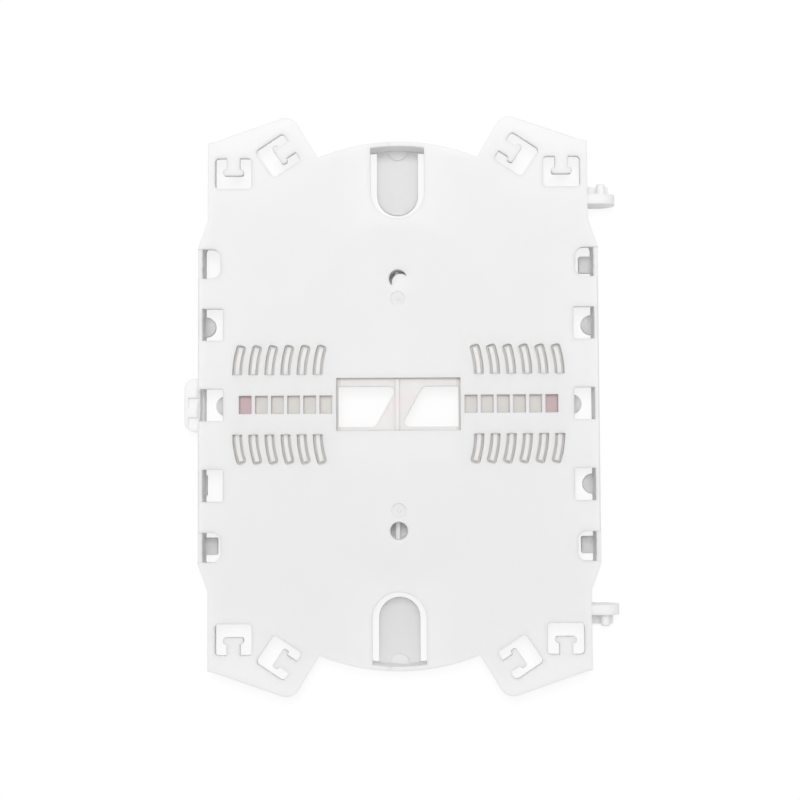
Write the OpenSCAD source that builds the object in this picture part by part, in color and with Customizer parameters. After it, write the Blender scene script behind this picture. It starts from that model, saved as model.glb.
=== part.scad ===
// Fibre splice tray, all sizes in millimetres.
// It lies face down: the rim of its walls rests on the table at z = 0 and the flat back
// of its base is uppermost. X runs across the tray, from the latch to the hinge pins,
// and Y runs along it. The origin is under the middle of the overall box.

/* [Tray outline] */
// Width over the two straight side walls
body_width = 108.6; // [104:0.2:116]
// Length of the straight side walls
side_length = 85.2; // [78:0.2:92]
// Width over the four ears
ear_width = 103.2; // [98:0.2:108]
// Length of the taper between a side wall and an ear
taper_length = 7.6; // [5:0.2:11]
// Length over the outer corners of the ears
corner_length = 142.8; // [136:0.2:150]
// Width of the short flat at an ear's outer corner
corner_flat = 2.3; // [1:0.1:4]
// Rise of that flat towards the tip
corner_rise = 0.6; // [0.2:0.1:1.2]
// Angle of an ear's open end
ear_angle = 19.2; // [14:0.2:24]
// Angle of an ear's inner edge, beside the end wall
ear_inner_angle = 58.8; // [52:0.2:66]
// Radius of an ear's tip
tip_radius = 4; // [2:0.2:6]
// Length over the two curved end walls
end_length = 143.2; // [136:0.2:150]
// Radius of a curved end wall
end_radius = 57; // [50:0.5:70]
// Half width of an end wall, where it meets the ears
end_half_width = 21.6; // [18:0.2:23]

/* [Thicknesses] */
// Height of the tray, from the back of its base to its rim
tray_height = 8; // [7:0.1:12]
// Thickness of the base
base_thickness = 1.6; // [1.2:0.1:2.4]
// Thickness of the walls
wall = 1.25; // [0.8:0.05:1.8]
// Thickness of the retaining tabs and tongues
tab_thickness = 1.2; // [0.8:0.1:1.8]
// Chamfer on the back edge of the side walls
edge_chamfer = 0.45; // [0.2:0.05:0.8]

/* [Side windows] */
// Distance from the middle of the tray to the second window
window_place = 21.8; // [18:0.1:24]
// Length of the plain windows
window_length = 8.65; // [7.5:0.05:10]
// Width of the plain windows
window_width = 5.6; // [4.8:0.1:7]
// Distance from the middle of the tray to a shoulder window
shoulder_place = 38.4; // [36:0.1:42]
// Length of the shoulder windows
shoulder_length = 7.95; // [7:0.05:9]
// Width of the shoulder windows
shoulder_width = 4.9; // [4:0.1:6]
// Corner radius of the shoulder windows
shoulder_radius = 2.5; // [1:0.1:3]
// Corner radius of the plain windows
window_radius = 0.3; // [0.2:0.05:1]
// Depth of the shallow step beside a shoulder window
step_depth = 0.4; // [0.2:0.05:0.8]
// Reach of the half-round tabs
round_tab = 2.75; // [2:0.05:3.5]
// Reach of the square tabs at the shoulders
square_tab_reach = 3.3; // [2.5:0.1:4]
// Width of the square tabs
square_tab_width = 4.65; // [3.5:0.05:6]
// Corner radius of the square tabs
square_tab_corner = 0.5; // [0.3:0.05:1]
// Reach of the stub
stub_reach = 0.4; // [0.2:0.05:0.8]

/* [End tongues] */
// Width of a tongue
tongue_width = 11.3; // [8:0.1:13]
// Length from the back of the end wall to a tongue's tip
tongue_length = 19.1; // [16:0.1:22]
// Gap around a tongue
tongue_gap = 1.65; // [1:0.05:3]
// Radius of the half-round pad at a tongue's root
root_pad = 2.6; // [1.5:0.1:4]

/* [Cable tie lugs] */
// Width of a straight tie window
tie_window_width = 9.9; // [8.5:0.1:11]
// Depth of a straight tie window
tie_window_depth = 8.4; // [7.5:0.1:9.5]
// Size of a slanted tie window
slant_window = 9; // [8:0.1:10]
// Angle of the slanted tie windows
slant_angle = 33.6; // [28:0.2:40]
// Width of a lug's stem
lug_stem = 3.6; // [2.5:0.1:4.5]
// Width of a lug's head
lug_head = 5.6; // [4.8:0.1:6.5]
// Thickness of a lug's head
lug_bar = 1.8; // [1.2:0.1:2.4]
// Reach of a lug into its window
lug_reach = 4.8; // [4:0.1:5.6]

/* [Hubs] */
// Distance from the middle of the tray to a hub
hub_place = 34.15; // [30:0.05:36]
// Radius of a hub's socket
hub_bore = 2.4; // [1.8:0.05:3]
// Wall of a hub
hub_wall = 1.3; // [0.9:0.1:2]
// Depth of the round part of a socket
hub_depth = 3.6; // [2.5:0.1:4.5]
// Width of the spine rib
spine_width = 1.2; // [0.8:0.1:2]
// Distance from the middle of the tray to a gate mark
gate_place = 28.65; // [26:0.05:29]
// Radius of a gate mark
gate_radius = 1.9; // [1:0.1:2.4]

/* [Fibre guides] */
// Outer radius of the bend guides
guide_radius = 30; // [25:0.5:34]
// Clearance between the guides and what passes over them
guide_drop = 0.6; // [0.3:0.1:1.5]

/* [Splice channels] */
// Number of channels on each side
channels = 6; // [4:1:6]
// Distance between two channels
channel_pitch = 4.36; // [4:0.02:4.6]
// Distance from the middle of the tray to the outermost finger
finger_place = 43.6; // [41:0.1:45]
// Thickness of the fingers
finger = 1.25; // [0.9:0.05:1.6]
// Gap on each side of a spring finger
finger_gap = 0.69; // [0.4:0.01:0.8]
// Distance from the middle of a channel to the root of its springs
spring_root = 8.1; // [7.6:0.1:9]
// Length of the springs, along the channel
spring_length = 7.9; // [6:0.1:9]
// Radius to which the springs bend
spring_radius = 24; // [18:0.5:40]
// Width of the square windows under the channels
floor_window_width = 3.4; // [2.6:0.1:3.6]
// Length of the square windows under the channels
floor_window_length = 4.86; // [4:0.02:6]
// Thickness of the holder's floor
holder_floor = 1; // [0.8:0.05:1.4]

/* [Middle window] */
// Width of the window in the tray
middle_width = 33.5; // [30:0.1:34]
// Length of the window in the tray
middle_length = 14.24; // [12:0.02:15]
// Slant of the web between the holder's two openings
web_angle = 29; // [20:0.5:35]
// Width of that web, across the tray
web_width = 6.85; // [5:0.05:9]

/* [Latch] */
// Reach of the latch beyond the side wall
latch_reach = 3.55; // [2.5:0.05:5]
// Length of the latch
latch_length = 14.5; // [12:0.1:18]
// Corner radius of the latch
latch_radius = 2.8; // [1.5:0.1:3.4]
// Depth of its grip notches
notch_depth = 0.8; // [0.4:0.1:1.2]

/* [Hinge pins] */
// Distance over the ends of the two hinge pins
pin_span = 120.2; // [116:0.2:124]
// Radius of a hinge pin
pin_radius = 1.2; // [0.9:0.05:1.6]
// Length of a hinge pin
pin_length = 3.2; // [2:0.1:4]
// Distance from the ear's side to a pin's axis
pin_offset = 4; // [3.4:0.1:6]
// Thickness of a hinge arm
arm_thickness = 2.7; // [1.8:0.1:3.4]
// Radius of a hinge arm's end
arm_radius = 3.8; // [2.6:0.1:3.9]

/* [Hidden] */
$fn = 96;
eps = 0.02;
far = 200;

// Heights. The base's inner side faces down.
base_inside = tray_height - base_thickness;
guide_height = base_inside - guide_drop;
side_x = body_width / 2;
side_inside = side_x - wall;
ear_x = ear_width / 2;
latch_x = side_x + latch_reach;
arm_x = ear_x + pin_offset + arm_radius;
middle_shift = (latch_x - arm_x) / 2;

// Plan of one ear. The end wall is an arc about arc_y on the Y axis.
end_y = end_length / 2;
arc_y = end_y - end_radius;
junction = [end_half_width, arc_y + sqrt(end_radius ^ 2 - end_half_width ^ 2)];
open_way = [-cos(ear_angle), sin(ear_angle)];
open_out = [sin(ear_angle), cos(ear_angle)];
inner_way = [cos(ear_inner_angle), sin(ear_inner_angle)];
inner_out = [-sin(ear_inner_angle), cos(ear_inner_angle)];
corner = [ear_x, corner_length / 2];
corner_end = corner + [-corner_flat, corner_rise];
tip = meet(corner_end, open_way, junction, inner_way);
tip_centre = meet(corner_end - tip_radius * open_out, open_way, junction - tip_radius * inner_out, inner_way);
quarter = [
    [side_x, side_length / 2],
    [ear_x, side_length / 2 + taper_length],
    corner,
    corner_end,
    tip
];

// Tie windows, measured from the ear's edges. Each has a rim of base left round it.
tie_window_radius = 1;
lug_corner = 0.7;
tie_side_rim = 2;
tie_end_rim = 4.1;
slant_side_rim = 4.45;
slant_start = 6.3;
tie_place = [ear_x - tie_side_rim - tie_window_width / 2, corner_length / 2 - tie_end_rim];
slant_place = junction + slant_start * inner_way - slant_side_rim * inner_out;
entry_margin = 2;

// Tongues and the guides below their tips.
tongue_tip = end_y - tongue_length;
tongue_centre = tongue_tip + tongue_width / 2;
tip_play = 0.3;
tongue_window_end = tongue_tip - tongue_gap - tip_play;
guide_centre = tongue_window_end - tip_play / 2 - guide_radius;
pad_extra = 0.4;
guide_start = 16;
guide_gap_angles = [50, 130];
guide_gap = 6.4;

// Channels. The outermost finger stands against the end rail.
slot_width = finger + 2 * finger_gap;
spring_angle = asin(spring_length / spring_radius);
finger_tip_gap = finger_gap / spring_radius * 180 / PI;
slot_end = 0.8;
play = 0.1;
bead = 0.3;
rail_width = 1;
holder_x = finger_place + finger / 2 + bead + play;
rail_inside = holder_x + play;
holder_y = spring_root + spring_length + 1;
inner_finger = finger_place - channels * channel_pitch;
finger_foot = 0.9;
finger_height = base_inside - finger_foot;
bead_rise = [0.6, 0.9, 1.3];

// Snap posts beside the holder's pads, each with a nose under the holder's floor.
snap_width = 4;
snap_post = 1.1;
snap_nose = 0.5;
snap_height = 0.9;
snap_x = (middle_width / 2 + holder_x) / 2;

// Short walls beside the side windows, with ends that bend inwards.
guide_wall_outside = side_inside - window_width;
guide_wall_run = window_length / 2 + 3;
guide_bend = 9;
guide_turn = 32;

// The holder's bridge and its two openings, which a slanted web parts.
bridge_y = middle_length / 2 + 1.4;
opening_top = 4.85;
opening_bottom = -6.1;
ledge = 0.45;
opening_end = middle_width / 2 - ledge;
web_rib = 0.5;
sharp_radius = 1.4;
blunt_radius = 2.2;
web_foot = 0.6;

// Hubs, spine and gate marks.
hub_seat = 0.2;
spine_shift = 0.3;
spine_height = 2.2;
spine_start = middle_length / 2 + 2.2;
crescent_shift = [0.75, -1.15];
gate_depth = 0.3;
nub_radius = 0.5;
nub_height = 0.22;

// Latch. Its grip notches are wedges, deepest at the side wall.
latch_drop = 1.6;
latch_lip = 1.1;
grip_places = [1.95, -3.35];
grip_width = 2.8;
grip_run = 3.2;
slit_width = 0.4;
slit_length = 7.4;
slit_inset = 0.2;
relief = 0.65;
relief_height = tray_height * 0.4;

// Hinge arms.
arm_y = pin_span / 2 - pin_length - arm_thickness;
pin_x = ear_x + pin_offset;
arm_z = tray_height / 2;
pin_z = arm_z + 0.6;
pin_relief = 0.3;
arm_web = 1.5;
arm_web_z = arm_z - 3.2;
arm_web_reach = 2.4;

// The small notch in the back edge of each end wall.
end_notch = [0.7, 0.5];
end_notch_x = -2.9;

// Which tab each side window has, from the far end to the near end. On the latch side the
// first is missing and the fourth is a stub.
LATCH_SIDE_TABS = ["none", "round", "inner", "stub", "square"];
HINGE_SIDE_TABS = ["square", "round", "inner", "round", "square"];
WINDOW_PLACES = [shoulder_place, window_place, 0, -window_place, -shoulder_place];

// Where the line from p along d crosses the line from q along e.
function meet(p, d, q, e) = p + d * cross(q - p, e) / cross(d, e);

function unit(v) = v / norm(v);

// The closed outline pts, run anticlockwise, moved inwards by d.
function inset(pts, d) = [
    for (i = [0:len(pts) - 1])
        let (
            n = len(pts),
            a = pts[(i + n - 1) % n],
            b = pts[i],
            c = pts[(i + 1) % n],
            u = unit(b - a),
            v = unit(c - b)
        )
        meet(b + d * [-u.y, u.x], u, b + d * [-v.y, v.x], v)
];

function flip_x(pts) = [for (i = [len(pts) - 1:-1:0]) [-pts[i].x, pts[i].y]];
function flip_y(pts) = [for (i = [len(pts) - 1:-1:0]) [pts[i].x, -pts[i].y]];

module both_ends() {
    children();
    mirror([0, 1]) children();
}

module four_ways() {
    both_ends() {
        children();
        mirror([1, 0]) children();
    }
}

// A rectangle with rounded corners, centred on X, from y = 0 down to y = -depth.
module hanging_rect(width, depth, radius) {
    for (x = [-1, 1], y = [-radius, radius - depth])
        translate([x * (width / 2 - radius), y]) circle(radius);
    translate([-width / 2 + radius, -depth]) square([width - 2 * radius, depth]);
    translate([-width / 2, radius - depth]) square([width, depth - 2 * radius]);
}

// The tray's plan, moved inwards by d.
module plan(d) {
    half = concat(quarter, flip_x(quarter));
    difference() {
        polygon(inset(concat(half, flip_y(half)), d));
        both_ends() end_bay(d);
        four_ways() tip_trim(d);
    }
}

// The notch between two ears, down to the curved end wall.
module end_bay(d) {
    foot = junction - d * inner_out;
    right = [foot - end_half_width / 2 * inner_way, foot + far * inner_way];
    difference() {
        polygon(concat(right, flip_x(right)));
        translate([0, arc_y]) circle(end_radius - d, $fn = 360);
    }
}

// What the rounding of an ear's tip takes off.
module tip_trim(d) {
    reach = 2 * tip_radius;
    beyond = tip + 2 * (tip - tip_centre);
    difference() {
        polygon([tip_centre, tip_centre + reach * open_out, beyond, tip_centre + reach * inner_out]);
        translate(tip_centre) circle(tip_radius - d);
    }
}

// The open end of an ear, where the tubes come in.
module tube_entry() {
    inside = ear_x - wall;
    polygon([
        [inside, corner.y - wall - entry_margin],
        [inside, corner.y + tip_radius],
        tip + 2 * tip_radius * open_out,
        tip_centre + 2 * tip_radius * inner_out,
        tip_centre,
        tip_centre - entry_margin * open_out
    ]);
}

// A window with a T-shaped lug hanging from its root edge at y = 0.
module tie_window(width, depth) {
    difference() {
        hanging_rect(width, depth, tie_window_radius);
        translate([-lug_stem / 2, lug_bar / 2 - lug_reach]) square([lug_stem, lug_reach]);
        translate([0, lug_bar - lug_reach]) hanging_rect(lug_head, lug_bar, lug_corner);
    }
}

module tie_windows() {
    four_ways() {
        translate(tie_place) tie_window(tie_window_width, tie_window_depth);
        translate(slant_place) rotate(90 - slant_angle) tie_window(slant_window, slant_window);
    }
}

// A window beside a side wall; its inner corners are rounded by radius.
module side_window(width, length, radius) {
    translate([side_inside, 0]) rotate(-90) {
        hanging_rect(length, width, radius);
        translate([-length / 2, -width / 2]) square([length, width / 2]);
    }
}

module side_windows() {
    four_ways() translate([0, shoulder_place]) side_window(shoulder_width, shoulder_length, shoulder_radius);
    for (y = [-window_place, 0, window_place], m = [0, 1])
        mirror([m, 0]) translate([0, y]) side_window(window_width, window_length, window_radius);
}

// The round-ended window over a tongue, up to the curved end wall.
module tongue_window() {
    radius = tongue_width / 2 + tongue_gap;
    intersection() {
        translate([0, arc_y]) circle(end_radius - wall, $fn = 360);
        union() {
            translate([0, tongue_window_end + radius]) circle(radius);
            translate([-radius, tongue_window_end + radius]) square([2 * radius, far]);
        }
    }
}

// A curved bar of the given width along a spring, from its root to its rounded free end.
// The root is at the origin, and the bar bends towards -X.
module curved_bar(width, radius, angle) {
    inner = spring_radius - width / 2;
    outer = spring_radius + width / 2;
    turn = angle - radius / spring_radius * 180 / PI;
    translate([-spring_radius, 0]) {
        sector(inner, outer, turn);
        sector(inner + radius, outer - radius, angle);
        for (r = [inner + radius, outer - radius])
            rotate(turn) translate([r, 0]) circle(radius - eps, $fn = 32);
    }
}

module sector(inner, outer, angle) {
    intersection() {
        difference() {
            circle(outer, $fn = 180);
            circle(inner, $fn = 180);
        }
        polygon([[0, 0], [far, 0], [far, far * tan(angle)]]);
    }
}

// Places its child at the root of every spring, bending to the middle of the tray.
module at_springs() {
    four_ways() for (i = [0:channels - 1])
        translate([finger_place - i * channel_pitch, spring_root]) children();
}

module spring_slots() {
    at_springs() curved_bar(slot_width, slot_end, spring_angle);
}

// Square windows under the channels.
module floor_windows() {
    for (i = [0:channels - 1], m = [0, 1])
        mirror([m, 0]) translate([finger_place - (i + 0.5) * channel_pitch, 0])
            square([floor_window_width, floor_window_length], center = true);
}

// The base, with everything that goes through it.
module base() {
    translate([0, 0, base_inside]) linear_extrude(base_thickness) difference() {
        plan(0);
        tie_windows();
        side_windows();
        both_ends() tongue_window();
        spring_slots();
        floor_windows();
        square([middle_width, middle_length], center = true);
    }
}

// The wall round the tray, open at the ends of the ears.
module rim_wall() {
    linear_extrude(base_inside + eps) difference() {
        plan(0);
        plan(wall);
        four_ways() tube_entry();
    }
}

// One tongue, from the end wall inwards, with its half-round root pad.
module tongue() {
    linear_extrude(tab_thickness) intersection() {
        plan(wall / 2);
        union() {
            translate([0, tongue_centre]) circle(tongue_width / 2);
            translate([-tongue_width / 2, tongue_centre]) square([tongue_width, far]);
        }
    }
    linear_extrude(tab_thickness + pad_extra) intersection() {
        plan(wall / 2);
        translate([0, end_y - wall]) circle(root_pad);
    }
}

// A tab on the +X side wall, at the rim.
module side_tab(kind) {
    reach = kind == "stub" ? stub_reach : round_tab;
    linear_extrude(tab_thickness) translate([side_inside, 0])
        if (kind == "square") {
            rotate(-90) hanging_rect(square_tab_width, square_tab_reach, square_tab_corner);
            translate([-wall, -square_tab_width / 2]) square([wall * 1.5, square_tab_width]);
        } else intersection() {
            circle(round_tab);
            translate([-reach, -round_tab]) square([reach + wall / 2, 2 * round_tab]);
        }
}

// A tab on a guide wall, pointing at the side wall.
module inner_tab() {
    linear_extrude(tab_thickness) intersection() {
        translate([guide_wall_outside - wall / 2, -round_tab]) square(2 * round_tab);
        translate([guide_wall_outside, 0]) circle(round_tab);
    }
}

module tabs(kinds) {
    for (i = [0:len(kinds) - 1]) translate([0, WINDOW_PLACES[i]]) {
        if (kinds[i] == "inner") inner_tab();
        else if (kinds[i] != "none") side_tab(kinds[i]);
    }
}

// Short walls beside the side windows. Their ends turn inwards.
module guide_walls() {
    for (m = [0, 1]) mirror([m, 0, 0]) {
        linear_extrude(base_inside + eps)
            translate([guide_wall_outside - wall, -guide_wall_run]) square([wall, 2 * guide_wall_run]);
        translate([0, 0, guide_drop]) linear_extrude(guide_height + eps) both_ends()
            translate([guide_wall_outside - guide_bend, guide_wall_run])
                sector(guide_bend - wall, guide_bend, guide_turn);
    }
}

// What holds the splice holder: a rail at its outer end and snap posts at its long edges.
module holder_seat() {
    for (m = [0, 1]) mirror([m, 0, 0]) {
        translate([rail_inside, -holder_y, guide_drop])
            cube([rail_width, 2 * holder_y, guide_height + eps]);
        for (n = [0, 1]) mirror([0, n, 0])
            translate([snap_x - snap_width / 2, holder_y + play, 0]) {
                post_foot = base_inside - holder_floor - snap_height;
                translate([0, 0, post_foot]) cube([snap_width, snap_post, base_inside - post_foot + eps]);
                translate([0, -snap_nose - play, post_foot])
                    cube([snap_width, snap_nose + play + eps, snap_height - eps]);
            }
    }
}

// Curved guides that keep the fibres from bending too tightly.
module bend_guides() {
    both_ends() translate([0, guide_centre]) difference() {
        circle(guide_radius, $fn = 180);
        circle(guide_radius - wall, $fn = 180);
        translate([-far / 2, -far]) square([far, far + guide_radius * sin(guide_start)]);
        for (a = guide_gap_angles) rotate(a) translate([0, -guide_gap / 2]) square([far, guide_gap]);
    }
}

// One hub's post; its socket is cut later.
module hub() {
    translate([0, hub_place, guide_drop])
        cylinder(r = hub_bore + hub_wall, h = guide_height + eps);
}

// The round socket with its seat, and the two pockets beside the spine below it.
module hub_socket() {
    translate([0, hub_place, tray_height - hub_depth]) cylinder(r = hub_bore, h = hub_depth + 1);
    translate([0, hub_place, guide_drop + wall]) difference() {
        cylinder(r = hub_bore - hub_seat, h = tray_height - hub_depth - guide_drop - wall + eps);
        translate([-spine_shift - spine_width / 2, -far / 2, -1]) cube([spine_width, far, far]);
    }
}

// The land that leaves only a crescent of the far hub's socket open.
module crescent_land() {
    translate([crescent_shift.x, hub_place + crescent_shift.y, tray_height - hub_depth])
        cylinder(r = hub_bore, h = hub_depth);
}

// Stiffening ribs from the hubs to the middle window.
module spine() {
    both_ends() translate([-spine_shift - spine_width / 2, spine_start, base_inside - spine_height])
        cube([spine_width, hub_place - spine_start, spine_height + eps]);
}

// A shallow round mark with a nub, left by the mould's gate.
module gate_mark() {
    translate([0, gate_place, tray_height - gate_depth]) difference() {
        cylinder(r = gate_radius, h = 1);
        translate([0, 0, -1]) cylinder(r = nub_radius, h = 1 + nub_height);
    }
}

// The finger latch on the -X side.
module latch() {
    translate([-latch_x, 0, base_inside - latch_drop])
        linear_extrude(base_thickness + latch_drop) intersection() {
            rotate(90) hanging_rect(latch_length, 2 * latch_reach + wall, latch_radius);
            translate([0, -latch_length / 2]) square([latch_reach + wall / 2, latch_length]);
        }
}

// Wedge-shaped grip notches in the latch, and the slit beside it.
module latch_cuts() {
    for (y = grip_places)
        translate([-latch_x + latch_lip, y, tray_height]) rotate([90, 0, 90]) linear_extrude(grip_width)
            polygon([[0, 1], [0, -notch_depth], [-grip_run, 0], [-grip_run, 1]]);
    translate([-side_x + slit_inset, -slit_length / 2, tray_height - notch_depth])
        cube([slit_width, slit_length, 2 * notch_depth]);
    translate([-side_inside - relief, -window_length / 2, relief_height])
        cube([relief + eps, window_length, tray_height]);
}

// One hinge arm with its pin, on the far right ear.
module hinge_arm() {
    back = arm_y + arm_thickness;
    root = ear_x - wall / 2;
    translate([0, back, 0]) rotate([90, 0, 0]) linear_extrude(arm_thickness) {
        translate([pin_x, arm_z]) circle(arm_radius);
        translate([root, arm_z - arm_radius]) square([pin_x - root, 2 * arm_radius]);
    }
    translate([pin_x, back - eps, pin_z]) rotate([-90, 0, 0]) {
        cylinder(r = pin_radius, h = pin_length - pin_relief + eps, $fn = 48);
        translate([0, 0, pin_length - pin_relief])
            cylinder(r1 = pin_radius, r2 = pin_radius - pin_relief, h = pin_relief + eps, $fn = 48);
    }
    translate([root, back - eps, arm_web_z])
        cube([pin_x + arm_web_reach - root, pin_length - pin_relief, arm_web]);
}

// Shallow steps in the back beside the shoulder windows, and the chamfer between them.
module back_edges() {
    four_ways() translate([side_inside - eps, shoulder_place - shoulder_length / 2, tray_height - step_depth])
        cube([wall + 1, shoulder_length, 1]);
    run = 2 * shoulder_place - shoulder_length;
    for (m = [0, 1]) mirror([m, 0, 0])
        translate([side_x, 0, tray_height]) rotate([0, 45, 0])
            cube([edge_chamfer * sqrt(2), run, edge_chamfer * sqrt(2)], center = true);
}

// The small notch in the back edge of each end wall.
module end_notches() {
    both_ends() translate([end_notch_x, end_y - wall, tray_height - end_notch.y])
        cube([end_notch.x, 2 * wall, 2 * end_notch.y]);
}

// The whole moulding.
module tray() {
    color("white") translate([middle_shift, 0, 0]) {
        difference() {
            union() {
                base();
                rim_wall();
                both_ends() hub();
                spine();
                latch();
            }
            both_ends() hub_socket();
            both_ends() gate_mark();
            latch_cuts();
            back_edges();
            end_notches();
        }
        crescent_land();
        both_ends() tongue();
        tabs(HINGE_SIDE_TABS);
        mirror([1, 0, 0]) tabs(LATCH_SIDE_TABS);
        guide_walls();
        holder_seat();
        translate([0, 0, guide_drop]) linear_extrude(guide_height + eps) bend_guides();
        both_ends() hinge_arm();
    }
}

// Section of a finger: its root is at the top, and a bead near its free edge keeps a
// splice sleeve in its channel.
module finger_section() {
    t = finger / 2;
    edge = t - play;
    polygon([
        [-t, base_inside],
        [-t, finger_foot + bead_rise[2]],
        [-t - bead, finger_foot + bead_rise[1]],
        [-t - bead, finger_foot + bead_rise[0]],
        [-edge, finger_foot],
        [edge, finger_foot],
        [t + bead, finger_foot + bead_rise[0]],
        [t + bead, finger_foot + bead_rise[1]],
        [t, finger_foot + bead_rise[2]],
        [t, base_inside]
    ]);
}

// A spring finger, from its root at the origin.
module spring_finger() {
    free_angle = spring_angle - finger_tip_gap;
    translate([-spring_radius, 0, 0]) rotate_extrude(angle = free_angle, $fn = 180)
        translate([spring_radius, 0]) finger_section();
}

// The straight middle of a finger, between its two springs.
module straight_finger() {
    translate([0, spring_root, 0]) rotate([90, 0, 0]) linear_extrude(2 * spring_root) finger_section();
}

// One opening of the middle window, beside the +X side of the web and out to x = end.
module holder_opening(end) {
    top = [web_foot + (opening_top - opening_bottom) * tan(web_angle), opening_top];
    foot = [web_foot, opening_bottom];
    difference() {
        polygon([foot, [end, foot.y], [end, top.y], top]);
        corner_trim(foot, 90 - web_angle, 0, sharp_radius);
        corner_trim(top, 0, -90 - web_angle, blunt_radius);
    }
}

// What rounding takes off a corner p, whose edges leave it at angles a and b.
module corner_trim(p, a, b, radius) {
    half = abs(a - b) / 2;
    middle = (a + b) / 2;
    centre = p + radius / sin(half) * [cos(middle), sin(middle)];
    reach = radius / tan(half);
    outside = p - play * [cos(middle), sin(middle)];
    difference() {
        polygon([outside, p + reach * [cos(b), sin(b)], centre, p + reach * [cos(a), sin(a)]]);
        translate(centre) circle(radius + eps);
    }
}

// Both openings: the second is the first turned half round about the middle of the web.
module holder_openings() {
    middle_y = (opening_top + opening_bottom) / 2;
    middle_x = web_foot + (middle_y - opening_bottom) * tan(web_angle) - web_width / 2;
    holder_opening(opening_end);
    translate([2 * middle_x, 2 * middle_y]) rotate(180) holder_opening(opening_end + 2 * middle_x);
}

// The floor of the holder: a pad on each side and a bridge across the middle window.
module holder_plate() {
    pad_start = opening_end + eps;
    for (m = [0, 1]) mirror([m, 0])
        translate([pad_start, -holder_y]) square([holder_x - pad_start, 2 * holder_y]);
    square([2 * pad_start + eps, 2 * bridge_y], center = true);
}

// The moulded insert with its channels.
module splice_holder() {
    color("wheat") translate([middle_shift, 0, 0]) {
        translate([0, 0, base_inside - holder_floor]) linear_extrude(holder_floor) difference() {
            holder_plate();
            holder_openings();
            spring_slots();
        }
        at_springs() spring_finger();
        for (i = [0:channels - 1], m = [0, 1])
            mirror([m, 0, 0]) translate([finger_place - i * channel_pitch, 0, 0]) straight_finger();
        // The plain wall that closes the innermost channel.
        for (m = [0, 1]) mirror([m, 0, 0])
            translate([inner_finger - finger / 2, -spring_root, base_inside - finger_height])
                cube([finger, 2 * spring_root, finger_height]);
        // The pale rib across the web.
        translate([-spine_shift - spine_width / 2, -middle_length / 2 + play, base_inside - eps])
            cube([spine_width, middle_length - 2 * play, web_rib]);
    }
}

tray();
splice_holder();
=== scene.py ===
# %% [markdown]
# # A fibre splice tray, dressed in Blender
# The tray is a flat white moulding that stores loops of optical fibre. It lies face down
# here, so we look at the back of its base. A second moulding, the splice holder, is clipped
# in behind it and shows through slots and windows. Both shapes come from the frame as exact
# solids, so this script gives them their plastic, their light and the small marks that a
# mould leaves. It starts by loading them and noting the size of the whole object.

# %% Load the frame
import math

import bmesh
import bpy
from mathutils import Matrix, Vector


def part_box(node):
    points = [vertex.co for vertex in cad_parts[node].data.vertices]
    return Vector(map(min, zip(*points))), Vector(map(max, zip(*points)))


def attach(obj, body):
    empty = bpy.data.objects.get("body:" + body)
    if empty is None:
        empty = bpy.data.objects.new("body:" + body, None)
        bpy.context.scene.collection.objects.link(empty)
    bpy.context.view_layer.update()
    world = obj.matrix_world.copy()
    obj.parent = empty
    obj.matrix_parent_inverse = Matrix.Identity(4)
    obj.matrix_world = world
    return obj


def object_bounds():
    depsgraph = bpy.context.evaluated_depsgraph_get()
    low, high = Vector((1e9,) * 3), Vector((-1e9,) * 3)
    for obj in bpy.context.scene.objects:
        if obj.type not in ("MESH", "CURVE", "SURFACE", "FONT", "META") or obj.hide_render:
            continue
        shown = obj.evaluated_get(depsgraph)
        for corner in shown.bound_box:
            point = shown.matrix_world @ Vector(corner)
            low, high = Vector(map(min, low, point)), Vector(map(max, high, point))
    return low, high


MM = 0.001

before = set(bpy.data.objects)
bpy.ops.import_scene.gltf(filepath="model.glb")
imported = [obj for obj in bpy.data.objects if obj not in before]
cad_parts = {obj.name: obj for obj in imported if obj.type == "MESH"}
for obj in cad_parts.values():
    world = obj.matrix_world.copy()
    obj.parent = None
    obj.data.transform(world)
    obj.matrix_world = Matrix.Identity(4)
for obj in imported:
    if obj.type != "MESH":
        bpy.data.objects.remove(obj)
cad_low, cad_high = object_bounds()
print("overall size in mm:", [round(v / MM, 2) for v in Vector(cad_high) - Vector(cad_low)])

# %% [markdown]
# The box of the whole tray isn't centred on the moulding's own middle, because the hinge
# arms reach out further than the latch. The splice holder is symmetric about that middle,
# so its box tells us where the middle is.

# %% Find the tray's own middle
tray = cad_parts["tray"]
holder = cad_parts["splice_holder"]
holder_low, holder_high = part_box("splice_holder")
middle_x = (holder_low.x + holder_high.x) / 2
back_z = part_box("tray")[1].z
print("middle at x =", round(middle_x / MM, 3), "mm, back at z =", round(back_z / MM, 2), "mm")

# %% [markdown]
# ## Camera
# The camera looks down on the tray from almost straight above, through a fairly long lens,
# so that the far end and the near end come out nearly as large as each other. It leans by
# less than three degrees, which is enough to show the inner sides of the windows on one
# side and hide them on the other. It is placed by its distance from the back of the tray
# and by three small angles, so each of them can be tried by itself.

# %% Place the camera
SENSOR_WIDTH = 36
LENS = 63
NEAREST_SEEN = 10 * MM
CAMERA_OFFSET = Vector((0.44, 1.11, 378)) * MM
LEAN_FORWARD = math.radians(2.608)
LEAN_SIDE = math.radians(0.6)
ROLL = math.radians(-0.327)

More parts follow.
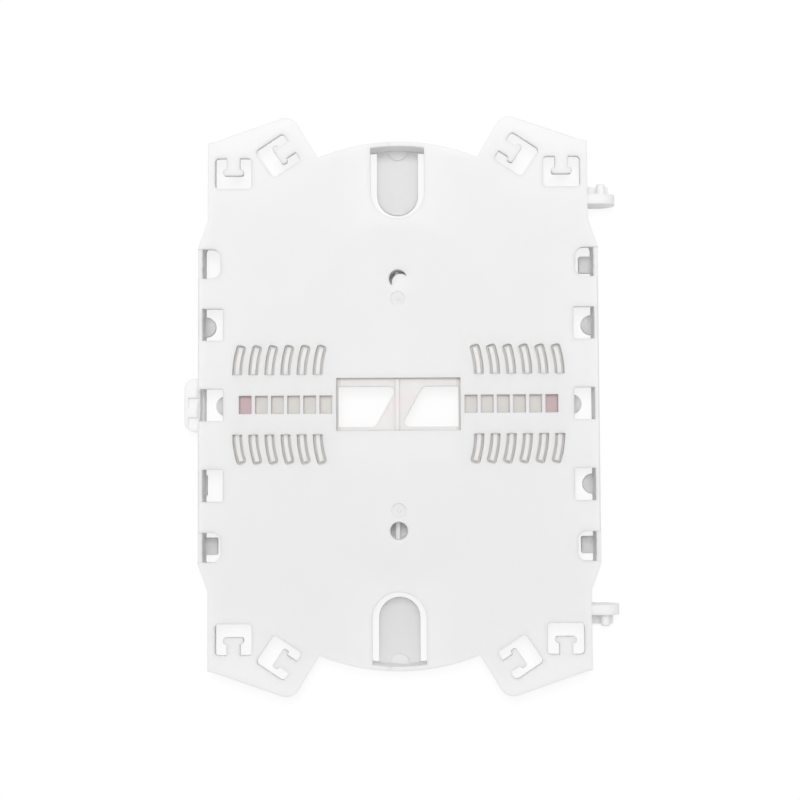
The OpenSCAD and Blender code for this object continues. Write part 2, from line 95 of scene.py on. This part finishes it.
turn = Matrix.Identity(4)
for angle, axis in ((LEAN_FORWARD, "X"), (LEAN_SIDE, "Y"), (ROLL, "Z")):
    turn = turn @ Matrix.Rotation(angle, 4, axis)
over_middle = Matrix.Translation((middle_x, 0, back_z))
camera_data = bpy.data.cameras.new("camera")
camera_data.sensor_width = SENSOR_WIDTH
camera_data.lens = LENS
camera_data.clip_start = NEAREST_SEEN
camera = bpy.data.objects.new("camera", camera_data)
camera.matrix_world = over_middle @ turn @ Matrix.Translation(CAMERA_OFFSET)
bpy.context.collection.objects.link(camera)
bpy.context.scene.camera = camera
print("camera at", [round(v / MM, 1) for v in camera.matrix_world.translation], "mm")

# %% [markdown]
# ## Light
# White plastic on a white table shows its form only by small steps of grey. An even sky
# gives every face a base level. It could be the only light, but then nothing would lead the
# eye along the plate, so one wide soft lamp hangs high and a little beyond the far end:
# high, so that its light falls straight down through the windows onto the tabs below them,
# and beyond the end, so that the plate is lightest there. Together they light a level
# surface at about the colour it is given, so nothing clips.

# %% Sky and lamp
SKY_STRENGTH = 0.53
LAMP_PLACE = Vector((-0.02, 0.22, 0.95))
LAMP_SIZE = 0.5
LAMP_POWER = 4.85

bpy.context.scene.view_settings.view_transform = "Standard"

world = bpy.data.worlds.new("studio")
world.use_nodes = True
sky = world.node_tree.nodes["Background"]
sky.inputs["Color"].default_value = (1, 1, 1, 1)
sky.inputs["Strength"].default_value = SKY_STRENGTH
bpy.context.scene.world = world

lamp = bpy.data.lights.new("key", "AREA")
lamp.size = LAMP_SIZE
lamp.energy = LAMP_POWER
stand = bpy.data.objects.new("key", lamp)
stand.location = LAMP_PLACE
stand.rotation_euler = (-LAMP_PLACE).to_track_quat("-Z", "Y").to_euler()
bpy.context.collection.objects.link(stand)
print("lamp", stand.name, "of", LAMP_POWER, "W, sky at", SKY_STRENGTH)

# %% [markdown]
# ## Table
# A plain white table. To the light it is a real matte surface, so it throws white light up
# into the hollow side of the tray. To the eye most of its white is its own and a smaller
# share is lit, so it reads as a clean background and still keeps the tray's soft shadow.
# The Light Path node tells the two apart. More lamps could whiten it too, but they would
# also bleach the tray.

# %% White for the table
TABLE_WHITE = (0.90, 0.90, 0.90, 1)
TABLE_SEEN_WHITE = (0.20, 0.20, 0.20, 1)
TABLE_GLOW = 0.82


def new_material(name):
    """An empty node material, with its nodes, its links and its output node."""
    material = bpy.data.materials.new(name)
    material.use_nodes = True
    nodes = material.node_tree.nodes
    nodes.clear()
    return material, nodes, material.node_tree.links, nodes.new("ShaderNodeOutputMaterial")


def table_material():
    """White that is all lit to the light, and mostly its own to the eye and to gloss."""
    material, nodes, links, output = new_material("table_white")
    lit = nodes.new("ShaderNodeBsdfDiffuse")
    lit.inputs["Color"].default_value = TABLE_WHITE
    seen = nodes.new("ShaderNodeBsdfDiffuse")
    seen.inputs["Color"].default_value = TABLE_SEEN_WHITE
    glow = nodes.new("ShaderNodeEmission")
    glow.inputs["Strength"].default_value = TABLE_GLOW
    seen_white = nodes.new("ShaderNodeAddShader")
    path = nodes.new("ShaderNodeLightPath")
    looked_at = nodes.new("ShaderNodeMath")
    looked_at.operation = "MAXIMUM"
    choose = nodes.new("ShaderNodeMixShader")
    links.new(path.outputs["Is Camera Ray"], looked_at.inputs[0])
    links.new(path.outputs["Is Glossy Ray"], looked_at.inputs[1])
    links.new(seen.outputs[0], seen_white.inputs[0])
    links.new(glow.outputs[0], seen_white.inputs[1])
    links.new(looked_at.outputs[0], choose.inputs["Fac"])
    links.new(lit.outputs[0], choose.inputs[1])
    links.new(seen_white.outputs[0], choose.inputs[2])
    links.new(choose.outputs[0], output.inputs["Surface"])
    return material


# %% [markdown]
# The table top is one large plane. It lies a hair below the rim of the tray, because two
# surfaces at exactly the same height would flicker through each other.

# %% Lay the table
TABLE_SIZE = 3.0
TABLE_GAP = 0.02 * MM

bpy.ops.mesh.primitive_plane_add(size=TABLE_SIZE, location=(0, 0, cad_low[2] - TABLE_GAP))
table = bpy.context.object
table.name = "table"
table.data.materials.append(table_material())
print("table top at z =", round(table.location.z / MM, 3), "mm")

# %% [markdown]
# ## Plastic
# Both mouldings are plain satin plastic. Three things keep such a plastic from looking like
# flat paint: the spark-eroded mould leaves a very fine grain, the flow of the melt leaves
# broad faint differences of tone and gloss, and every edge is slightly rounded, so it
# catches a line of light. The first two are node groups, because every plastic here shares
# them. These helpers make a group, a math node and a noise.

# %% Helpers for node groups
def node_group(name, inputs, outputs):
    """A shader node group with float or colour sockets, its input node and its output node."""
    group = bpy.data.node_groups.new(name, "ShaderNodeTree")
    for socket, kind, value in inputs:
        made = group.interface.new_socket(socket, in_out="INPUT", socket_type=kind)
        made.default_value = value
    for socket, kind in outputs:
        group.interface.new_socket(socket, in_out="OUTPUT", socket_type=kind)
    return group, group.nodes.new("NodeGroupInput"), group.nodes.new("NodeGroupOutput")


def math_node(nodes, links, operation, first, second=None):
    """The output of a math node. Each of its inputs is a socket or a number."""
    node = nodes.new("ShaderNodeMath")
    node.operation = operation
    for value, socket in ((first, node.inputs[0]), (second, node.inputs[1])):
        if isinstance(value, (int, float)):
            socket.default_value = value
        elif value is not None:
            links.new(value, socket)
    return node.outputs[0]


def object_noise(nodes, links, scale_socket, detail):
    """Noise in the object's own coordinates, in metres, with its scale from a socket."""
    place = nodes.new("ShaderNodeTexCoord")
    noise = nodes.new("ShaderNodeTexNoise")
    noise.inputs["Detail"].default_value = detail
    links.new(place.outputs["Object"], noise.inputs["Vector"])
    links.new(scale_socket, noise.inputs["Scale"])
    return noise


# %% [markdown]
# The grain is a noise so fine that it only breaks up the gloss. An image of a grain could do
# the same, but noise needs no file and has no seams. The group puts out a height, and each
# plastic decides how deep it goes.

# %% Node group: mould grain
GRAIN_SCALE = 2500.0
GRAIN_DETAIL = 3


def make_mould_grain():
    """Height of the fine grain that a spark-eroded mould leaves."""
    group, given, result = node_group(
        "mould_grain",
        [("Scale", "NodeSocketFloat", GRAIN_SCALE)],
        [("Height", "NodeSocketFloat")],
    )
    noise = object_noise(group.nodes, group.links, given.outputs["Scale"], GRAIN_DETAIL)
    group.links.new(noise.outputs["Fac"], result.inputs["Height"])
    return group


MOULD_GRAIN = make_mould_grain()
print("node group:", MOULD_GRAIN.name)

# %% [markdown]
# The melt flow is a broad noise about its own middle value. It makes the colour drift a
# little to both sides of the one given, and the roughness with it, as where the plastic
# cooled sooner.

# %% Node group: melt flow
FLOW_SCALE = 30.0
FLOW_DETAIL = 2
NOISE_MIDDLE = 0.5


def make_melt_flow():
    """A colour that drifts slightly between light and dark, and the same drift as roughness."""
    group, given, result = node_group(
        "melt_flow",
        [
            ("Colour", "NodeSocketColor", (1, 1, 1, 1)),
            ("Drift", "NodeSocketFloat", 0.0),
            ("Roughness", "NodeSocketFloat", 0.0),
            ("Scale", "NodeSocketFloat", FLOW_SCALE),
        ],
        [("Colour", "NodeSocketColor"), ("Roughness", "NodeSocketFloat")],
    )
    nodes, links = group.nodes, group.links
    noise = object_noise(nodes, links, given.outputs["Scale"], FLOW_DETAIL)
    centred = math_node(nodes, links, "SUBTRACT", noise.outputs["Fac"], NOISE_MIDDLE)
    scaled = math_node(nodes, links, "MULTIPLY", centred, given.outputs["Drift"])
    tinted = nodes.new("ShaderNodeVectorMath")
    tinted.operation = "SCALE"
    links.new(given.outputs["Colour"], tinted.inputs[0])
    links.new(math_node(nodes, links, "ADD", scaled, 1.0), tinted.inputs["Scale"])
    links.new(tinted.outputs[0], result.inputs["Colour"])
    rough = math_node(nodes, links, "ADD", given.outputs["Roughness"], scaled)
    links.new(rough, result.inputs["Roughness"])
    return group


MELT_FLOW = make_melt_flow()
print("node group:", MELT_FLOW.name)

# %% [markdown]
# One function makes every plastic on the tray. The shader itself stays in the material, with
# the two groups placed before it. Subsurface scattering lets a little light through thin
# walls. The edges could be rounded in the mesh, but the solids are kept exact, so the Bevel
# node bends the normals near each edge instead, as the radius of a milling cutter does in
# the mould.

# %% A satin plastic
EDGE_RADIUS = 0.22 * MM
EDGE_SAMPLES = 6
GRAIN_DEPTH = 0.006 * MM


def use_group(nodes, group):
    """A node that places a node group."""
    node = nodes.new("ShaderNodeGroup")
    node.node_tree = group
    return node


def satin_plastic(name, colour, roughness, drift, depth, scatter):
    """A principled plastic with flow in its colour, grain in its normal and soft edges.

    Light goes about as far as depth into it, and scatter is the share that does."""
    material, nodes, links, output = new_material(name)
    shader = nodes.new("ShaderNodeBsdfPrincipled")
    shader.inputs["Subsurface Weight"].default_value = scatter
    shader.inputs["Subsurface Radius"].default_value = (1.0, 1.0, 1.0)
    shader.inputs["Subsurface Scale"].default_value = depth
    flow = use_group(nodes, MELT_FLOW)
    flow.inputs["Colour"].default_value = colour
    flow.inputs["Drift"].default_value = drift
    flow.inputs["Roughness"].default_value = roughness
    grain = use_group(nodes, MOULD_GRAIN)
    soft_edge = nodes.new("ShaderNodeBevel")
    soft_edge.samples = EDGE_SAMPLES
    soft_edge.inputs["Radius"].default_value = EDGE_RADIUS
    bump = nodes.new("ShaderNodeBump")
    bump.inputs["Distance"].default_value = GRAIN_DEPTH
    links.new(soft_edge.outputs["Normal"], bump.inputs["Normal"])
    links.new(grain.outputs["Height"], bump.inputs["Height"])
    links.new(bump.outputs["Normal"], shader.inputs["Normal"])
    links.new(flow.outputs["Colour"], shader.inputs["Base Color"])
    links.new(flow.outputs["Roughness"], shader.inputs["Roughness"])
    links.new(shader.outputs[0], output.inputs["Surface"])
    return material, nodes, links, shader, flow


def dress(node, material):
    """Gives a solid from the frame one material."""
    node.data.materials.clear()
    node.data.materials.append(material)
    print(node.name, "dressed in", material.name)


# %% [markdown]
# The white plastic of the tray is satin and opaque in the plate. In its thin walls and tabs
# it lets a little light through. Its tone is kept below full white, so the steps between
# plate, tabs and tongues stay visible.

# %% White plastic
TRAY_WHITE = (0.90, 0.90, 0.90, 1)
TRAY_ROUGHNESS = 0.52
TRAY_DRIFT = 0.012
TRAY_DEPTH = 3.0 * MM
TRAY_SCATTER = 0.8

tray_plastic = satin_plastic(
    "tray_plastic", TRAY_WHITE, TRAY_ROUGHNESS, TRAY_DRIFT, TRAY_DEPTH, TRAY_SCATTER
)[0]
dress(tray, tray_plastic)

# %% [markdown]
# The splice holder is a softer, slightly translucent plastic of a warm grey, so light that
# enters its thin fingers comes out again a little further on. The outermost channel on each
# side and the middle of the web are faintly pink. They could be pieces of their own, but it
# is one moulding, so a group tints a band of its surface instead: it compares the distance
# from the tray's middle with a place and a half width, once across the tray and once along.

# %% Node group: tinted band
def make_tinted_band():
    """Mixes a tint into a colour at a distance Across from the middle and within Along of it."""
    group, given, result = node_group(
        "tinted_band",
        [
            ("Colour", "NodeSocketColor", (1, 1, 1, 1)),
            ("Tint", "NodeSocketColor", (1, 1, 1, 1)),
            ("Across", "NodeSocketFloat", 0.0),
            ("Half Width", "NodeSocketFloat", 1 * MM),
            ("Along", "NodeSocketFloat", 1 * MM),
            ("Softness", "NodeSocketFloat", 1 * MM),
        ],
        [("Colour", "NodeSocketColor")],
    )
    nodes, links = group.nodes, group.links
    place = nodes.new("ShaderNodeTexCoord")
    split = nodes.new("ShaderNodeSeparateXYZ")
    links.new(place.outputs["Object"], split.inputs[0])
    from_middle = math_node(nodes, links, "SUBTRACT", split.outputs["X"], middle_x)
    across = math_node(nodes, links, "ABSOLUTE", from_middle)
    from_band = math_node(nodes, links, "SUBTRACT", across, given.outputs["Across"])
    off_band = math_node(nodes, links, "ABSOLUTE", from_band)
    along = math_node(nodes, links, "ABSOLUTE", split.outputs["Y"])
    masks = []
    for distance, limit in ((off_band, "Half Width"), (along, "Along")):
        past = math_node(nodes, links, "SUBTRACT", distance, given.outputs[limit])
        share = math_node(nodes, links, "DIVIDE", past, given.outputs["Softness"])
        kept = nodes.new("ShaderNodeClamp")
        links.new(math_node(nodes, links, "SUBTRACT", 1.0, share), kept.inputs["Value"])
        masks.append(kept.outputs[0])
    mix = nodes.new("ShaderNodeMix")
    mix.data_type = "RGBA"
    links.new(math_node(nodes, links, "MULTIPLY", *masks), mix.inputs["Factor"])
    links.new(given.outputs["Colour"], mix.inputs[6])
    links.new(given.outputs["Tint"], mix.inputs[7])
    links.new(mix.outputs[2], result.inputs["Colour"])
    return group


TINTED_BAND = make_tinted_band()
print("node group:", TINTED_BAND.name)

# %% [markdown]
# The bridge and the spring fingers are the palest part of the holder. The floors of the
# channels, between the rows of springs, are greyer, and the last channel on each side and
# the middle of the web are pink. Each of these is one band laid over the one before, given
# as its place across the tray, its half width and its half length.

# %% Grey plastic
HOLDER_PALE = (0.80, 0.785, 0.77, 1)
FLOOR_GREY = (0.69, 0.66, 0.63, 1)
CHANNEL_PINK = (0.56, 0.42, 0.435, 1)
WEB_PINK = (0.82, 0.76, 0.76, 1)
HOLDER_ROUGHNESS = 0.38
HOLDER_DRIFT = 0.03
HOLDER_DEPTH = 2.5 * MM
HOLDER_SCATTER = 0.85
FLOOR_BAND = (30.5 * MM, 14.6 * MM, 7.7 * MM)
PINK_BAND = (41.42 * MM, 2.0 * MM, 7.7 * MM)
WEB_BAND = (0.0, 4.5 * MM, 2.6 * MM)
BAND_SOFTNESS = 0.4 * MM


def lay_bands(nodes, links, colour, bands):
    """Lays tinted bands over a colour socket, one after another, and returns the last colour."""
    for tint, (across, half_width, along) in bands:
        band = use_group(nodes, TINTED_BAND)
        band.inputs["Tint"].default_value = tint
        band.inputs["Across"].default_value = across
        band.inputs["Half Width"].default_value = half_width
        band.inputs["Along"].default_value = along
        band.inputs["Softness"].default_value = BAND_SOFTNESS
        links.new(colour, band.inputs["Colour"])
        colour = band.outputs["Colour"]
    return colour


holder_plastic, nodes, links, shader, flow = satin_plastic(
    "holder_plastic", HOLDER_PALE, HOLDER_ROUGHNESS, HOLDER_DRIFT, HOLDER_DEPTH, HOLDER_SCATTER
)
bands = [(FLOOR_GREY, FLOOR_BAND), (CHANNEL_PINK, PINK_BAND), (WEB_PINK, WEB_BAND)]
banded = lay_bands(nodes, links, flow.outputs["Colour"], bands)
links.new(banded, shader.inputs["Base Color"])
dress(holder, holder_plastic)
print("bands on the holder:", len(bands))

# %% [markdown]
# ## Springs in their slots
# Each spring finger fills most of a curved slot in the base. What shows in the slot is the
# pale back of the finger, standing up in it, and beside it a thin grey sheet across the gaps,
# which is painted shade for the dark down in them. Both follow the arc of the slot. A curve
# with a bevel would round their backs, so a helper sweeps a chamfered rectangle round an
# arc, and loops repeat it for every channel in all four quarters of the tray.

# %% Arc-shaped bars
SPRING_ROOT = 8.1 * MM
SPRING_RADIUS = 24 * MM
ARC_STEPS = 14


def arc_bar(mesh, root, side, end, width, length_angle, low, high, taper=0.0):
    """Adds one closed bar that runs round an arc from root, on one side and end of the tray.

    It bends to the middle of the tray. The top edges are drawn in by taper."""
    half = width / 2
    section = (
        (-half, low),
        (half, low),
        (half, high - taper),
        (half - taper, high),
        (taper - half, high),
        (-half, high - taper),
    )
    rings = []
    for step in range(ARC_STEPS + 1):
        angle = length_angle * step / ARC_STEPS
        ring = []
        for radius_shift, z in section:
            radius = SPRING_RADIUS + radius_shift
            across = root - SPRING_RADIUS + radius * math.cos(angle)
            along = SPRING_ROOT + radius * math.sin(angle)
            ring.append(mesh.verts.new((middle_x + side * across, end * along, z)))
        rings.append(ring)
    faces = [rings[0][::-1], rings[-1]]
    for near, far in zip(rings, rings[1:]):
        for i in range(len(near)):
            j = (i + 1) % len(near)
            faces.append((near[i], near[j], far[j], far[i]))
    for corners in faces:
        mesh.faces.new(corners)


# %% [markdown]
# A mesh built in code needs the same few steps each time before it counts as a piece: its
# double points are merged, its faces turned outwards, and it gets a material and the body it
# rides on.

# %% Finish a piece
MERGE_DISTANCE = 0.001 * MM


def finish_piece(mesh, name, material, body="root"):
    """Turns a bmesh into a piece of the object that wears a material and rides on a body."""
    bmesh.ops.remove_doubles(mesh, verts=mesh.verts, dist=MERGE_DISTANCE)
    bmesh.ops.recalc_face_normals(mesh, faces=mesh.faces)
    data = bpy.data.meshes.new(name)
    mesh.to_mesh(data)
    mesh.free()
    piece = bpy.data.objects.new(name, data)
    bpy.context.collection.objects.link(piece)
    data.materials.append(material)
    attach(piece, body)
    print(name, "has", len(data.polygons), "faces")


# %% [markdown]
# The backs of the fingers end just under the back of the base, with a small chamfer. Their
# plastic is a paler mix of the holder's, without the bands. The sheets in the gaps are a
# little greyer, as painted shade. They also look darker, because they lie deep in the slots,
# where little light reaches them.

# %% Finger backs and painted shade sheets
FINGER_PALE = (0.87, 0.86, 0.85, 1)
# Painted shade: the grey of the thin sheets that fill the slot gaps beside each finger.
SHADE_SHEET_GREY = (0.84, 0.80, 0.76, 1)
SHADE_SHEET_DRIFT = 0.05
SHADE_SHEET_SCATTER = 0.8
CHANNELS = 6
PITCH = 4.36 * MM
OUTER_FINGER = 43.6 * MM
SPRING_LENGTH = 7.9 * MM
FINGER = 1.25 * MM
SLOT_GAP = 0.69 * MM
SLOT_PLAY = 0.03 * MM
BASE = 1.6 * MM
CAP_DROP = 0.25 * MM
CAP_SINK = 0.10 * MM
CAP_TAPER = 0.12 * MM
SHADE_SHEET_TOP = 0.55 * MM
SHADE_SHEET_THICKNESS = 0.30 * MM
SLOT_ANGLE = math.asin(SPRING_LENGTH / SPRING_RADIUS)
FINGER_END_GAP = SLOT_GAP / SPRING_RADIUS

finger_plastic = satin_plastic(
    "finger_plastic", FINGER_PALE, HOLDER_ROUGHNESS, HOLDER_DRIFT, HOLDER_DEPTH, HOLDER_SCATTER
)[0]
shade_sheet_plastic = satin_plastic(
    "shade_sheet_plastic", SHADE_SHEET_GREY, HOLDER_ROUGHNESS, SHADE_SHEET_DRIFT, HOLDER_DEPTH, SHADE_SHEET_SCATTER
)[0]
floor_z = back_z - BASE
shade_sheet_z = floor_z + SHADE_SHEET_TOP
shade_sheet_width = FINGER + 2 * (SLOT_GAP - SLOT_PLAY)
finger_backs = bmesh.new()
# The sheets in the slot gaps stand in for the shade deep in them; their grey is painted shade.
slot_shade_sheets = bmesh.new()
for channel in range(CHANNELS):
    root = OUTER_FINGER - channel * PITCH
    for side in (-1, 1):
        for end in (-1, 1):
            arc_bar(
                finger_backs, root, side, end, FINGER, SLOT_ANGLE - FINGER_END_GAP,
                floor_z - CAP_SINK, back_z - CAP_DROP, CAP_TAPER,
            )
            arc_bar(
                slot_shade_sheets, root, side, end, shade_sheet_width, SLOT_ANGLE,
                shade_sheet_z - SHADE_SHEET_THICKNESS, shade_sheet_z,
            )
finish_piece(finger_backs, "finger_backs", finger_plastic)
finish_piece(slot_shade_sheets, "slot_shade_sheets", shade_sheet_plastic)
